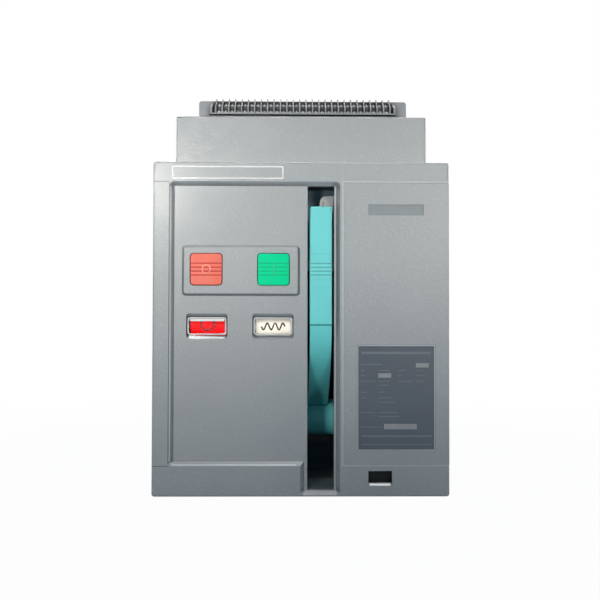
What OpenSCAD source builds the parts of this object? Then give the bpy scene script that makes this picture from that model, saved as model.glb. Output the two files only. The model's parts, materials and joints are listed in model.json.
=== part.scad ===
// Low-voltage air isolating switch, fixed pattern, three poles.
// X runs to the right as seen from the front, Z is up, and the front faces -Y.
// Each sub-part is drawn with y counted backwards from the front face, and place() centres the depth.

/* [Overall] */
// Length of the main terminals that stands out of the base
bar_out = 85; // [70:1:100]
// Depth of the mechanism between the mask and the base
mechanism_d = 57; // [54:1:70]
// Gap between the floor and the bottom edge of the mask
mask_lift = 1; // [0.5:0.5:3]

/* [Front mask] */
// Width of the mask
mask_w = 300; // [296:1:312]
// Height of the mask
mask_h = 338; // [334:1:350]
// Depth of the mask from front to back
mask_d = 75; // [70:1:80]
// Wall of the mask
mask_wall = 3; // [2:0.5:3.5]
// Corner radius of the mask seen from the front
mask_corner_r = 3; // [2:0.5:6]
// Rounding of the mask's front edges
mask_edge_r = 2; // [1:0.5:2.5]
// Depth of the recessed control pocket
pocket_d = 5; // [4:0.5:6]
// Width of the sloping wall round the pocket
pocket_bevel = 4; // [3:0.5:4.5]
// Corner radius of the pocket at the front face
pocket_corner_r = 4.5; // [3:0.5:6]
// Height of the header above the pocket
header_h = 20; // [18:0.5:22]
// Width of the plain strip left of the pocket
strip_w = 17.2; // [15:0.2:18]
// Height of the lower band
band_h = 31; // [28:0.5:34]
// Margin left under the foot of the pocket
sill_margin = 1.5; // [1:0.5:3]
// Gap between the right end of the lower band and the slot
band_gap = 7; // [6:0.5:9]
// Width of the moulding lines across the left strip
seam_w = 0.9; // [0.5:0.1:1.5]

/* [Handle slot] */
// Middle of the handle slot, right of the centre line
slot_x = 20; // [18:0.5:21]
// Width of the handle slot
slot_w = 27.2; // [26.4:0.2:29]
// Ledge between the slot and the rib on its right
slot_ledge = 2; // [1.5:0.5:3]
// Width of the rib between the ledge and the blank cover
rib_w = 6.6; // [6:0.2:8]

/* [Blank cover] */
// Depth of the blank cover
cover_d = 60; // [40:1:62]
// Wall of the blank cover
cover_wall = 3; // [2:0.5:4]
// Gap round the blank cover
cover_gap = 0.3; // [0.2:0.1:1]
// Margin of the cover on both sides of the label recess
label_side = 25.9; // [18:0.1:34]
// Height of the label recess
label_h = 11; // [8:0.5:16]
// Distance of the label recess below the top of the cover
label_drop = 23; // [14:0.5:40]
// Margin of the cover on both sides of the rating plate
plate_side = 15.7; // [10:0.1:24]
// Height of the rating plate
plate_h = 104; // [80:1:120]
// Distance of the rating plate above the foot of the cover
plate_rise = 16.4; // [10:0.2:30]
// Thickness of the rating plate
plate_t = 0.8; // [0.5:0.1:1.2]
// Margin round the rating plate in its recess
plate_margin = 1.4; // [0.6:0.2:3]

/* [Controls] */
// Plain margin of the panel on both sides of the button bezel
bezel_margin = 9.9; // [8:0.1:12]
// Height of the raised button bezel
bezel_h = 51; // [46:0.5:58]
// Middle of the bezel above the foot of the mask
bezel_z = 227.6; // [224:0.2:236]
// How far the bezel stands out of the pocket
bezel_t = 4.5; // [3:0.5:5]
// Slope of the bezel's sides, from its foot to its face
bezel_draft = 2; // [1:0.1:3]
// Side of each square button
button_s = 31.8; // [28:0.2:33]
// Place of a button's middle on the bezel, as a share of the bezel's width
button_share = 0.215; // [0.2:0.005:0.24]
// Running gap round each button
button_gap = 0.7; // [0.4:0.1:1]
// Width of an indicator window, as a share of the distance between the two
window_share = 0.58; // [0.5:0.01:0.6]
// Height of each indicator window
window_h = 18; // [15:0.2:19]
// Middle of the windows above the foot of the mask
window_z = 171; // [166:0.2:176]
// Radius of the indicator drums
drum_r = 24; // [22:0.5:26]
// Turn of a drum between its two signs, in degrees
drum_turn = 48; // [44:1:52]
// Diameter of the indicator shaft
drum_shaft_d = 6; // [4:0.5:8]

/* [Charging handle] */
// Width of the handle
handle_w = 22.6; // [20:0.2:23]
// Length of the grip
grip_len = 120.6; // [112:0.2:126]
// Thickness of the grip
grip_t = 15; // [12:0.5:17]
// Free space above the grip
grip_gap = 21; // [18:0.5:26]
// Distance of the handle pivot behind the mask's back edge
pivot_back = 30; // [26:1:31]
// Height of the handle pivot above the foot of the mask
pivot_z = 69; // [62:1:74]
// Radius of the handle hub
hub_r = 20; // [16:0.5:22]
// Drop of the neck below the grip before it bends back
neck_drop = 31; // [26:1:36]
// Distance of the neck's bend in front of the pivot
neck_reach = 65; // [60:1:70]
// Height of the neck's bend above the pivot
neck_lift = 42; // [38:1:46]
// Thickness of the neck of the handle
neck_t = 13; // [10:0.5:15]
// Diameter of the handle shaft
handle_shaft_d = 14; // [10:1:18]

/* [Secondary terminals] */
// Margin of the mask on both sides of the terminal housing
housing_side = 21.8; // [18:0.2:26]
// Depth of the terminal housing
housing_d = 82; // [76:1:100]
// Height of the terminal housing above the mask
housing_rise = 48.6; // [40:0.2:56]
// Distance of the housing behind the front face
housing_set = 10; // [9:0.5:12]
// Wall of the terminal housing
housing_wall = 3; // [2:0.5:4]
// Number of terminals in a row
terminal_count = 27; // [20:1:28]
// Distance between neighbouring terminals
terminal_pitch = 6.7; // [6.4:0.1:6.9]
// Thickness of the barriers between terminals
barrier_t = 1.2; // [0.8:0.1:1.6]
// Depth of a terminal row from front to back
row_d = 8; // [7.5:0.5:12]
// Height of the upper terminal row over the lower one
row_rise = 8.8; // [8.4:0.1:12]
// Margin of the housing on both sides of the plate behind the terminals
back_side = 18.9; // [14:0.1:24]
// Shift of the terminals to the right of the centre line
comb_x = 1.8; // [0:0.1:3]

/* [Body] */
// Thickness of the steel plates
steel_t = 3; // [2:0.5:4]
// Distance of the side plates' tops below the top of the mask
side_drop = 17; // [14:0.5:22]
// Width of the turned-in feet
foot_w = 30; // [26:1:40]
// Diameter of the holes in the feet
foot_hole_d = 11; // [9:0.5:13]
// Distance of the foot holes from front to back
foot_hole_pitch = 72; // [60:1:76]
// Depth of the moulded base
base_d = 106; // [102:1:112]
// Height of the moulded base
base_h = 212; // [206:1:220]
// Height of the base above the floor
base_rise = 38; // [34:1:42]
// Gap between the two cheeks of the mechanism
cheek_gap = 36; // [34:0.5:37]
// Gap between neighbouring main terminals
bar_gap = 35; // [30:1:45]
// Thickness of a main terminal
bar_t = 20; // [15:1:24]
// Length of a main terminal held in the base
bar_in = 24; // [16:1:30]
// Height of the lower terminals' middle above the foot of the base
bar_rise = 40; // [30:1:46]
// Distance of the upper terminals' middle below the top of the base
bar_drop = 54; // [46:1:64]
// Diameter of the holes in the main terminals
bar_hole_d = 13; // [11:0.5:14]
// Distance of the holes from the end of a main terminal
bar_hole_end = 25; // [18:1:30]
// Gap between neighbouring arc chutes
chute_gap = 11; // [8:0.5:16]
// Wall of the base in front of and behind an arc chute
chute_wall = 10; // [6:0.5:14]
// Height of the arc chutes' tops over the side plates
chute_rise = 2; // [0:0.5:8]

/* [Hidden] */
$fn = 48;
edge_fn = 32;
eps = 0.02;
over = 1;
fit = 0.2;
shaft_fit = 0.05;
slide_fit = 0.3;
side_clear = 0.5;

// Heights above the floor of what the mask carries
mask_z0 = mask_lift;
mask_z1 = mask_lift + mask_h;
pocket_top = mask_z1 - header_h;
band_top = mask_z0 + band_h;
floor_top = pocket_top - pocket_bevel;
sill_z = mask_z0 + sill_margin;
wall_back = pocket_d + mask_wall;

// Depths behind the front face
base_y0 = mask_d + mechanism_d;
base_y1 = base_y0 + base_d;
overall_d = base_y1 + bar_out;

// Edges of the control pocket and the slot at the front face, seen from the front
pocket_left = -mask_w / 2 + strip_w;
slot_left = slot_x - slot_w / 2;
slot_right = slot_x + slot_w / 2;
slot_bottom = sill_z + pocket_bevel;
tray_z = slot_bottom - fit;
pocket_right = slot_right + slot_ledge + pocket_bevel;
cover_left = slot_right + slot_ledge + rib_w;
cover_mid_x = (cover_left + mask_w / 2) / 2;
plate_w = mask_w / 2 - cover_left - 2 * plate_side;
label_w = mask_w / 2 - cover_left - 2 * label_side;
band_right = slot_left - band_gap;

// Buttons
bezel_shift = 2.2;
bezel_mid_x = (pocket_left + slot_left) / 2 + bezel_shift;
bezel_w = slot_left - pocket_left - 2 * bezel_margin;
button_pitch = bezel_w * (1 - 2 * button_share);
controls_x = bezel_mid_x - 1;
bezel_mid_z = mask_z0 + bezel_z;
bezel_face_y = pocket_d - bezel_t;
bezel_corner_r = 4;
bezel_edge_r = 0.5;
open_x = controls_x - button_pitch / 2;
close_x = controls_x + button_pitch / 2;
button_mid_z = bezel_mid_z + 1.2;
button_r = 3.4;
button_edge_r = 0.8;
button_face_y = max(0, bezel_face_y - 0.5);
hole_s = button_s + 2 * button_gap;
flange_s = button_s + 4;
flange_t = 2;
flange_y = wall_back + fit;
stem_s = 10;
stem_len = 13;
groove_pitch = 4;
groove_h = 1.2;
groove_d = 1.2;
sign_r = 4.8;
sign_line = 1.4;

// Indicator windows and drums
window_mid_z = mask_z0 + window_z;
window_pitch = button_pitch - 1;
window_w = window_share * window_pitch;
position_x = controls_x - window_pitch / 2;
charge_x = controls_x + window_pitch / 2;
well_side = 1.4;
well_top = 4;
well_foot = 3;
well_r = 3;
lens_r = 1.5;
lens_front_y = pocket_d + 1;
lens_lip = 2.4;
lens_back_y = wall_back + 2;
drum_front_gap = 5;
drum_y = lens_back_y + drum_front_gap + drum_r;
drum_wall = 2;
drum_margin = 25;
drum_w = window_w - 3;
drum_hub_r = drum_shaft_d / 2 + 2.5;
bracket_t = 3;
bracket_h = 18;
bracket_gap = 4;
bracket_x0 = position_x - drum_w / 2 - bracket_gap - bracket_t;
bracket_x1 = charge_x + drum_w / 2 + bracket_gap;

// Charging handle
grip_face_y = 1;
grip_r = 2;
grip_edge_r = 1.6;
grip_top = floor_top - grip_gap;
grip_foot = grip_top - grip_len;
grip_groove_z = grip_foot + 0.47 * grip_len;
grip_groove_pitch = 3.9;
grip_groove_h = 1.2;
grip_groove_d = 0.8;
pivot_y = mask_d + pivot_back;
pivot_mid_z = mask_z0 + pivot_z;
neck_step = 1.6;
neck_lean = 1.4;
neck_side = 0.3;
neck_parts = 16;
neck_p0 = [grip_face_y + neck_step, grip_foot + over];
neck_p1 = [grip_face_y + neck_step + neck_lean, grip_foot - neck_drop];
neck_p2 = [pivot_y - neck_reach, pivot_mid_z + neck_lift];
hub_front_turn = 135;
hub_top_turn = 60;
neck_p3 = hub_point(hub_front_turn);
hub_half = cheek_gap / 2 - slide_fit;

// Catch behind the top of the grip
catch_t = 11;
catch_w = 18;
catch_gap = 17;
catch_y = grip_face_y + grip_t + catch_gap;
catch_below = 9;
catch_above = 15;
catch_z0 = grip_top - catch_below;
catch_z1 = grip_top + catch_above;
catch_r = 7;
catch_nose_w = 9;
catch_nose_d = 8;
catch_nose_set = 4.5;
catch_nose_drop = 5;

// Lower right window
small_window_w = 24;
small_window_h = 12;
small_window_x = cover_left + 0.35 * (mask_w / 2 - cover_left);
small_window_z = mask_z0 + 0.64 * band_h;
small_window_bevel = 3;

// Steel body
side_x1 = mask_w / 2 - mask_wall - side_clear;
side_x0 = side_x1 - steel_t;
side_y0 = cover_d + 2;
side_h = mask_z1 - side_drop;
roof_y0 = housing_set + 2;
side_front_z = mask_z0 + mask_wall + side_clear;
foot_y0 = mask_d + 2;
side_y1 = base_y1 - 2;
foot_hole_x = side_x1 - foot_w / 2;
foot_hole_y = (base_y0 + side_y1) / 2;
roof_z1 = side_h + steel_t;
floor_z1 = 2 * steel_t;
base_top = base_rise + base_h;
closing_x = side_x1 - foot_w - side_clear;
pole_edge = 1;
pole_pitch = 2 * (side_x0 - pole_edge) / 3;
bar_w = pole_pitch - bar_gap;
bar_hole_pitch = bar_w / 2;
bar_low_z = base_rise + bar_rise;
bar_high_z = base_top - bar_drop;
rear_rib_t = 5;
rear_rib_d = 26;
rear_rib_taper = 14;
chute_well = 20;
chute_z0 = base_top - chute_well;
chute_mid_y = (base_y0 + base_y1) / 2;
chute_w = pole_pitch - chute_gap;
chute_d = base_d - 2 * chute_wall;
chute_top = side_h + chute_rise;
chute_slots = 7;
chute_rim = 9;
chute_slot_d = 8;
cheek_left_x1 = slot_x - cheek_gap / 2;
cheek_right_x0 = slot_x + cheek_gap / 2;
cheek_y0 = 22;
shaft_over = 3;

// Terminal housing and block
housing_w = mask_w - 2 * housing_side;
back_plate_w = housing_w - 2 * back_side;
housing_y0 = housing_set;
housing_y1 = housing_set + housing_d;
housing_z1 = mask_z1 + housing_rise;
housing_r = 1.5;
notch_gap = 0.4;
block_front = 8;
block_y0 = housing_y0 + block_front;
block_foot = 2.6;
undercut_d = 9;
undercut_h = 1.7;
lip_t = 1.3;
lip_z = housing_z1 + block_foot + undercut_h;
lower_row_z = lip_z + lip_t;
upper_row_z = lower_row_z + row_rise;
upper_row_y = block_y0 + row_d;
back_y0 = upper_row_y + row_d;
back_t = 4;
back_rise = 7.4;
back_top = upper_row_z + back_rise;
back_r = 3;
row_w = terminal_count * terminal_pitch + barrier_t;
end_gap = 3.2;
end_wall_t = 2;
end_wall_rise = 5;
block_half = row_w / 2 + end_gap + end_wall_t;
barrier_front_h = 6;
barrier_over = 1.5;
barrier_top = back_top + barrier_over;
clamp_w = terminal_pitch - barrier_t - 0.6;
clamp_set = 1.4;
clamp_d = row_d - clamp_set - 1.2;
clamp_t = 1.6;
clamp_screw_d = 3.8;
clamp_screw_h = 1.2;

// Moves a piece drawn from the front face backwards to its place about the middle of the depth.
module place() {
    translate([0, -overall_d / 2, 0]) children();
}

// Rounded rectangle between two corners.
module round_rect(x0, x1, z0, z1, r) {
    translate([x0 + r, z0]) square([x1 - x0 - 2 * r, z1 - z0]);
    translate([x0, z0 + r]) square([x1 - x0, z1 - z0 - 2 * r]);
    for (x = [x0 + r, x1 - r])
        for (z = [z0 + r, z1 - r])
            translate([x, z]) circle(r);
}

// A drawing of the front view, given depth from y0 back to y1.
module slab(y0, y1) {
    translate([0, y1, 0]) rotate([90, 0, 0]) linear_extrude(y1 - y0) children();
}

// A drawing of the side view (depth, height), given width from x0 to x1.
module side_slab(x0, x1) {
    translate([x0, 0, 0]) rotate([90, 0, 90]) linear_extrude(x1 - x0) children();
}

// A plain block between two corners.
module box(x0, x1, y0, y1, z0, z1) {
    translate([x0, y0, z0]) cube([x1 - x0, y1 - y0, z1 - z0]);
}

// A rounded block whose front edges are rounded off by e.
module soft_block(x0, x1, z0, z1, r, y0, y1, e) {
    hull() {
        for (a = [0 : 30 : 90]) {
            inset = e * (1 - sin(a));
            slab(y0 + e * (1 - cos(a)), y1)
                round_rect(x0 + inset, x1 - inset, z0 + inset, z1 - inset, max(r - inset, 0.4), $fn = edge_fn);
        }
    }
}

// A rounded block whose sides slope in by draft towards the front, with its front edges eased by e.
module tapered_block(x0, x1, z0, z1, r, y0, y1, draft, e) {
    hull() {
        slab(y1 - eps, y1) round_rect(x0, x1, z0, z1, r, $fn = edge_fn);
        for (set = [[draft, e], [draft + e, 0]])
            slab(y0 + set[1], y1)
                round_rect(x0 + set[0], x1 - set[0], z0 + set[0], z1 - set[0], r - set[0], $fn = edge_fn);
    }
}

// A cut that narrows from the rectangle at the front face to the one set in by bevel at depth y1.
module sloped_cut(x0, x1, z0, z1, r, y1, bevel) {
    hull() {
        slab(-eps, 0) round_rect(x0, x1, z0, z1, r, $fn = edge_fn);
        slab(y1 - eps, y1)
            round_rect(x0 + bevel, x1 - bevel, z0 + bevel, z1 - bevel, max(r - bevel, 0.4), $fn = edge_fn);
    }
}

// A rod along X.
module rod_x(x0, x1, y, z, d) {
    translate([x0, y, z]) rotate([0, 90, 0]) cylinder(h = x1 - x0, d = d);
}

// Front

module front_mask() {
    color("slategray") place() difference() {
        soft_block(-mask_w / 2, mask_w / 2, mask_z0, mask_z1, mask_corner_r, 0, mask_d, mask_edge_r);
        mask_hollow();
        pocket_cut();
        box(slot_left, slot_right, pocket_d - over, wall_back + over, slot_bottom, floor_top);
        for (x = [open_x, close_x])
            slab(pocket_d - over, wall_back + over) button_outline(x, hole_s, button_r + button_gap);
        for (x = [position_x, charge_x])
            window_well(x);
        cover_notch();
        housing_notch();
        small_window();
        for (z = [pocket_top, band_top])
            box(-mask_w / 2 - over, pocket_left - over, -over, seam_w, z - seam_w, z);
    }
}

// Hollow behind the front wall, reaching further forward behind the raised bands than behind the pocket, with
// a raised tray left under the handle slot.
module mask_hollow() {
    half = mask_w / 2 - mask_wall;
    low = mask_z0 + mask_wall;
    high = mask_z1 - mask_wall;
    difference() {
        box(-half, half, wall_back, mask_d + over, low, high);
        box(cheek_left_x1 + fit, cheek_right_x0 - fit, wall_back - over, mask_d, low - over, tray_z);
    }
    box(-half, half, mask_wall, wall_back + eps, pocket_top + mask_wall, high);
    box(-half, band_right - mask_wall, mask_wall, wall_back + eps, low, band_top - mask_wall);
    box(cover_left, half, mask_wall, wall_back + eps, low, band_top - mask_wall);
    box(-half, pocket_left - mask_wall, mask_wall, wall_back + eps, low, high);
}

// The pocket is the panel's rectangle joined with the taller one round the handle slot.
module pocket_cut() {
    sloped_cut(pocket_left, pocket_right, band_top, pocket_top, pocket_corner_r, pocket_d, pocket_bevel);
    sloped_cut(band_right, pocket_right, sill_z, pocket_top, pocket_corner_r, pocket_d, pocket_bevel);
}

module button_outline(x, s, r) {
    round_rect(x - s / 2, x + s / 2, button_mid_z - s / 2, button_mid_z + s / 2, r);
}

// A well with a long slope at its top, round each indicator window.
module window_well(x) {
    x0 = x - window_w / 2 - fit;
    x1 = x + window_w / 2 + fit;
    z0 = window_mid_z - window_h / 2 - fit;
    z1 = window_mid_z + window_h / 2 + fit;
    hull() {
        slab(pocket_d - eps, pocket_d)
            round_rect(x0 - well_side, x1 + well_side, z0 - well_foot, z1 + well_top, well_r, $fn = edge_fn);
        slab(wall_back, wall_back + eps) round_rect(x0, x1, z0, z1, lens_r, $fn = edge_fn);
    }
}

// The right side of the mask is open for the blank cover.
module cover_notch() {
    box(cover_left, mask_w / 2 + over, -over, mask_d + over, band_top, pocket_top);
}

// The top wall is open behind the header for the terminal housing.
module housing_notch() {
    half = housing_w / 2 + notch_gap;
    box(-half, half, housing_y0 - notch_gap, mask_d + over, mask_z1 - mask_wall - over, mask_z1 + over);
}

module small_window() {
    x0 = small_window_x - small_window_w / 2;
    x1 = small_window_x + small_window_w / 2;
    z0 = small_window_z - small_window_h / 2;
    box(x0, x1, -over, mask_wall + over, z0, z0 + small_window_h);
    side_slab(x0, x1)
        polygon([[-eps, z0 - small_window_bevel], [mask_wall + eps, z0], [-eps, z0 + over]]);
}

module blank_cover() {
    x0 = cover_left + cover_gap;
    x1 = mask_w / 2;
    z0 = band_top + cover_gap;
    z1 = pocket_top - cover_gap;
    label_z = pocket_top - label_drop;
    color("slategray") place() difference() {
        soft_block(x0, x1, z0, z1, 1, 0, cover_d, 1);
        box(x0 + cover_wall, x1 - cover_wall, cover_wall, cover_d + over, z0 + cover_wall, z1 - cover_wall);
        box(cover_mid_x - label_w / 2, cover_mid_x + label_w / 2, -over, plate_t, label_z - label_h, label_z);
        plate_box(-over, plate_t + fit, plate_margin);
    }
}

// The rating plate's outline between two depths, widened all round by a margin.
module plate_box(y0, y1, margin) {
    z0 = band_top + plate_rise;
    box(cover_mid_x - plate_w / 2 - margin, cover_mid_x + plate_w / 2 + margin, y0, y1,
        z0 - margin, z0 + plate_h + margin);
}

module rating_plate() {
    color("dimgray") place() plate_box(fit, plate_t + fit, 0);
}

module button_bezel() {
    x0 = bezel_mid_x - bezel_w / 2;
    z0 = bezel_mid_z - bezel_h / 2;
    color("slategray") place() difference() {
        tapered_block(x0, x0 + bezel_w, z0, z0 + bezel_h, bezel_corner_r, bezel_face_y, pocket_d, bezel_draft,
            bezel_edge_r);
        for (x = [open_x, close_x])
            slab(bezel_face_y - over, pocket_d + over) button_outline(x, hole_s, button_r + button_gap);
    }
}

// A square cap with four finger grooves, a flange that keeps it in, and a stem.
module button(x) {
    half = button_s / 2;
    difference() {
        union() {
            soft_block(x - half, x + half, button_mid_z - half, button_mid_z + half, button_r,
                button_face_y, flange_y + eps, button_edge_r);
            box(x - flange_s / 2, x + flange_s / 2, flange_y, flange_y + flange_t,
                button_mid_z - flange_s / 2, button_mid_z + flange_s / 2);
            box(x - stem_s / 2, x + stem_s / 2, flange_y, flange_y + stem_len,
                button_mid_z - stem_s / 2, button_mid_z + stem_s / 2);
        }
        for (i = [-1.5 : 1 : 1.5])
            translate([x, button_face_y, button_mid_z + i * groove_pitch])
                cube([button_s + 2 * over, 2 * groove_d, groove_h], center = true);
    }
}

module open_button() {
    color("tomato") place() {
        button(open_x);
        slab(button_face_y, button_face_y + groove_d + eps) translate([open_x, button_mid_z]) difference() {
            circle(sign_r);
            circle(sign_r - sign_line);
        }
    }
}

module close_button() {
    color("mediumseagreen") place() {
        button(close_x);
        slab(button_face_y, button_face_y + groove_d + eps) translate([close_x, button_mid_z])
            square([sign_line, 2.3 * sign_r], center = true);
    }
}

// A clear window with soft edges and a lip behind the panel.
module clear_window(x) {
    x0 = x - window_w / 2;
    x1 = x + window_w / 2;
    z0 = window_mid_z - window_h / 2;
    z1 = window_mid_z + window_h / 2;
    soft_block(x0, x1, z0, z1, lens_r, lens_front_y, lens_back_y, 1);
    box(x0 - lens_lip, x1 + lens_lip, wall_back + fit, lens_back_y, z0 - lens_lip, z1 + lens_lip);
}

module position_window() {
    color("white", 0.4) place() clear_window(position_x);
}

module charge_window() {
    color("white", 0.4) place() clear_window(charge_x);
}

// A drum sector with a web and a hub, turning behind a window.
module drum(x) {
    span = drum_turn + 2 * drum_margin;
    start = -90 - drum_margin;
    difference() {
        translate([x, drum_y, window_mid_z]) rotate([0, 90, 0]) {
            rotate([0, 0, start]) rotate_extrude(angle = span)
                translate([drum_r - drum_wall, -drum_w / 2]) square([drum_wall, drum_w]);
            rotate([0, 0, start]) rotate_extrude(angle = span)
                translate([drum_hub_r - over, -drum_wall / 2])
                    square([drum_r - drum_wall / 2 - drum_hub_r + over, drum_wall]);
            cylinder(h = drum_w / 2, r = drum_hub_r, center = true);
        }
        rod_x(x - drum_w, x + drum_w, drum_y, window_mid_z, drum_shaft_d + 2 * shaft_fit);
    }
}

module position_drum() {
    color("red") place() drum(position_x);
}

module charge_drum() {
    color("ivory") place() drum(charge_x);
}

module indicator_shaft() {
    color("silver") place()
        rod_x(bracket_x0 - over, bracket_x1 + bracket_t + over, drum_y, window_mid_z, drum_shaft_d);
}

// Two plates stand on the back of the panel and carry the shaft's ends.
module indicator_brackets() {
    color("silver") place() for (x = [bracket_x0, bracket_x1])
        difference() {
            box(x, x + bracket_t, wall_back, drum_y + bracket_h / 2, window_mid_z - bracket_h / 2,
                window_mid_z + bracket_h / 2);
            rod_x(x - over, x + bracket_t + over, drum_y, window_mid_z, drum_shaft_d + 2 * shaft_fit);
        }
}

// Handle

// A point on the rim of the hub, by its angle from the back.
function hub_point(angle) = [pivot_y + hub_r * cos(angle), pivot_mid_z + hub_r * sin(angle)];

// The front of the neck in side view, one smooth bend from the grip to the hub, and its direction.
function neck_front(t) = pow(1 - t, 3) * neck_p0 + 3 * t * pow(1 - t, 2) * neck_p1
    + 3 * t * t * (1 - t) * neck_p2 + pow(t, 3) * neck_p3;
function neck_way(t) = pow(1 - t, 2) * (neck_p1 - neck_p0) + 2 * t * (1 - t) * (neck_p2 - neck_p1)
    + t * t * (neck_p3 - neck_p2);

// The back of the neck lies its thickness behind the front.
function neck_back(t) = neck_front(t) + neck_t / norm(neck_way(t)) * [-neck_way(t)[1], neck_way(t)[0]];

module neck_outline() {
    polygon(concat(
        [for (i = [0 : neck_parts]) neck_front(i / neck_parts)],
        [[pivot_y, pivot_mid_z], hub_point(hub_top_turn)],
        [for (i = [neck_parts : -1 : 0]) neck_back(i / neck_parts)]));
}

module charging_handle() {
    x0 = slot_x - handle_w / 2;
    x1 = slot_x + handle_w / 2;
    color("mediumturquoise") place() difference() {
        union() {
            soft_block(x0, x1, grip_foot, grip_top, grip_r, grip_face_y, grip_face_y + grip_t, grip_edge_r);
            side_slab(x0 + neck_side, x1 - neck_side) neck_outline();
            rod_x(slot_x - hub_half, slot_x + hub_half, pivot_y, pivot_mid_z, 2 * hub_r);
        }
        rod_x(slot_x - cheek_gap, slot_x + cheek_gap, pivot_y, pivot_mid_z, handle_shaft_d + 2 * shaft_fit);
        for (i = [-1.5 : 1 : 1.5])
            translate([slot_x, grip_face_y, grip_groove_z + i * grip_groove_pitch])
                cube([handle_w + 2 * over, 2 * grip_groove_d, grip_groove_h], center = true);
    }
}

module handle_shaft() {
    color("silver") place() rod_x(cheek_left_x1 - steel_t - shaft_over, cheek_right_x0 + steel_t + shaft_over,
        pivot_y, pivot_mid_z, handle_shaft_d);
}

// The catch stands on the right cheek behind the top of the grip, with a nose towards the front.
module handle_catch() {
    x1 = cheek_right_x0;
    x0 = x1 - catch_w;
    color("darkgray") place() {
        slab(catch_y, catch_y + catch_t) {
            translate([x0, catch_z0]) square([catch_w, catch_z1 - catch_z0 - catch_r]);
            translate([x0 + catch_r, catch_z0]) square([catch_w - catch_r, catch_z1 - catch_z0]);
            translate([x0 + catch_r, catch_z1 - catch_r]) circle(catch_r);
        }
        box(x1 - catch_nose_set - catch_nose_w, x1 - catch_nose_set, catch_y - catch_nose_d, catch_y + eps,
            catch_z0, catch_z1 - catch_nose_drop);
    }
}

// A steel cheek between the floor, the roof and the moulded base.
module cheek(x) {
    difference() {
        box(x, x + steel_t, cheek_y0, base_y0, floor_z1, side_h);
        rod_x(x - over, x + steel_t + over, pivot_y, pivot_mid_z, handle_shaft_d + 2 * shaft_fit);
    }
}

module left_cheek() {
    color("silver") place() cheek(cheek_left_x1 - steel_t);
}

module right_cheek() {
    color("silver") place() cheek(cheek_right_x0);
}

// Secondary terminals

module terminal_housing() {
    half = housing_w / 2;
    color("slategray") place() difference() {
        soft_block(-half, half, roof_z1, housing_z1, housing_r, housing_y0, housing_y1, housing_r);
        box(-half + housing_wall, half - housing_wall, housing_y0 + housing_wall, housing_y1 - housing_wall,
            roof_z1 - over, housing_z1 - housing_wall);
    }
}

// Places a piece of the terminals about their own middle.
module comb_place() {
    place() translate([comb_x, 0, 0]) children();
}

// Two steps for the terminal rows, with a groove below the front lip, a wall at each end and a plate
// at the back.
module terminal_block() {
    color("gray") comb_place() {
        side_slab(-block_half, block_half) polygon([
            [block_y0, housing_z1], [block_y0, housing_z1 + block_foot],
            [block_y0 + undercut_d, housing_z1 + block_foot], [block_y0 + undercut_d, lip_z],
            [block_y0, lip_z], [block_y0, lower_row_z],
            [upper_row_y, lower_row_z], [upper_row_y, upper_row_z],
            [back_y0 + eps, upper_row_z], [back_y0 + eps, housing_z1]]);
        for (x = [-block_half, block_half - end_wall_t])
            side_slab(x, x + end_wall_t) polygon([
                [block_y0, lip_z], [back_y0 + eps, lip_z], [back_y0 + eps, upper_row_z + end_wall_rise],
                [block_y0, lower_row_z + barrier_front_h]]);
        slab(back_y0, back_y0 + back_t) back_plate_outline();
    }
}

// Plate with its upper corners rounded.
module back_plate_outline() {
    half = back_plate_w / 2;
    translate([-half, housing_z1]) square([back_plate_w, back_top - back_r - housing_z1]);
    translate([-half + back_r, housing_z1]) square([back_plate_w - 2 * back_r, back_top - housing_z1]);
    for (x = [-half + back_r, half - back_r])
        translate([x, back_top - back_r]) circle(back_r);
}

// Thin stepped fins between the terminals, standing on the block.
module terminal_barriers() {
    color("gray") comb_place() for (i = [0 : terminal_count]) {
        x = -row_w / 2 + i * terminal_pitch;
        side_slab(x, x + barrier_t) polygon([
            [block_y0, lower_row_z], [upper_row_y, lower_row_z], [upper_row_y, upper_row_z],
            [back_y0, upper_row_z], [back_y0, barrier_top], [back_y0 - 0.4 * row_d, barrier_top],
            [upper_row_y + 0.1 * row_d, upper_row_z + barrier_front_h],
            [upper_row_y - 0.2 * row_d, upper_row_z + 0.2 * barrier_front_h],
            [block_y0 + 0.2 * row_d, lower_row_z + 1.4 * barrier_front_h],
            [block_y0, lower_row_z + barrier_front_h]]);
    }
}

// A row of wire clamps, each a strap with a screw head on it.
module clamp_row(y, z) {
    for (i = [0 : terminal_count - 1]) {
        x = -row_w / 2 + barrier_t / 2 + (i + 0.5) * terminal_pitch;
        box(x - clamp_w / 2, x + clamp_w / 2, y, y + clamp_d, z, z + clamp_t);
        translate([x, y + clamp_d / 2, z]) cylinder(h = clamp_t + clamp_screw_h, d = clamp_screw_d);
    }
}

module lower_clamps() {
    color("silver") comb_place() clamp_row(block_y0 + clamp_set, lower_row_z);
}

module upper_clamps() {
    color("silver") comb_place() clamp_row(upper_row_y + clamp_set, upper_row_z);
}

// Body

// A plate with its foot turned in under the base, drawn for the right side.
module side_plate() {
    difference() {
        union() {
            side_slab(side_x0, side_x1) polygon([[side_y0, side_front_z], [foot_y0, side_front_z],
                [foot_y0, 0], [side_y1, 0], [side_y1, side_h], [side_y0, side_h]]);
            box(side_x1 - foot_w, side_x1, foot_y0, side_y1, 0, steel_t);
        }
        for (s = [-0.5, 0.5])
            translate([foot_hole_x, foot_hole_y + s * foot_hole_pitch, -over])
                cylinder(h = steel_t + 2 * over, d = foot_hole_d);
    }
}

module left_side_plate() {
    color("lightsteelblue") place() mirror([1, 0, 0]) side_plate();
}

module right_side_plate() {
    color("lightsteelblue") place() side_plate();
}

// The floor plate lies on the two feet, the closing plate fills the gap behind it below the base, and the
// roof plate lies on the two side plates.
module mechanism_floor() {
    color("lightsteelblue") place() box(-side_x0, side_x0, foot_y0, base_y0, steel_t, floor_z1);
}

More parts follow.
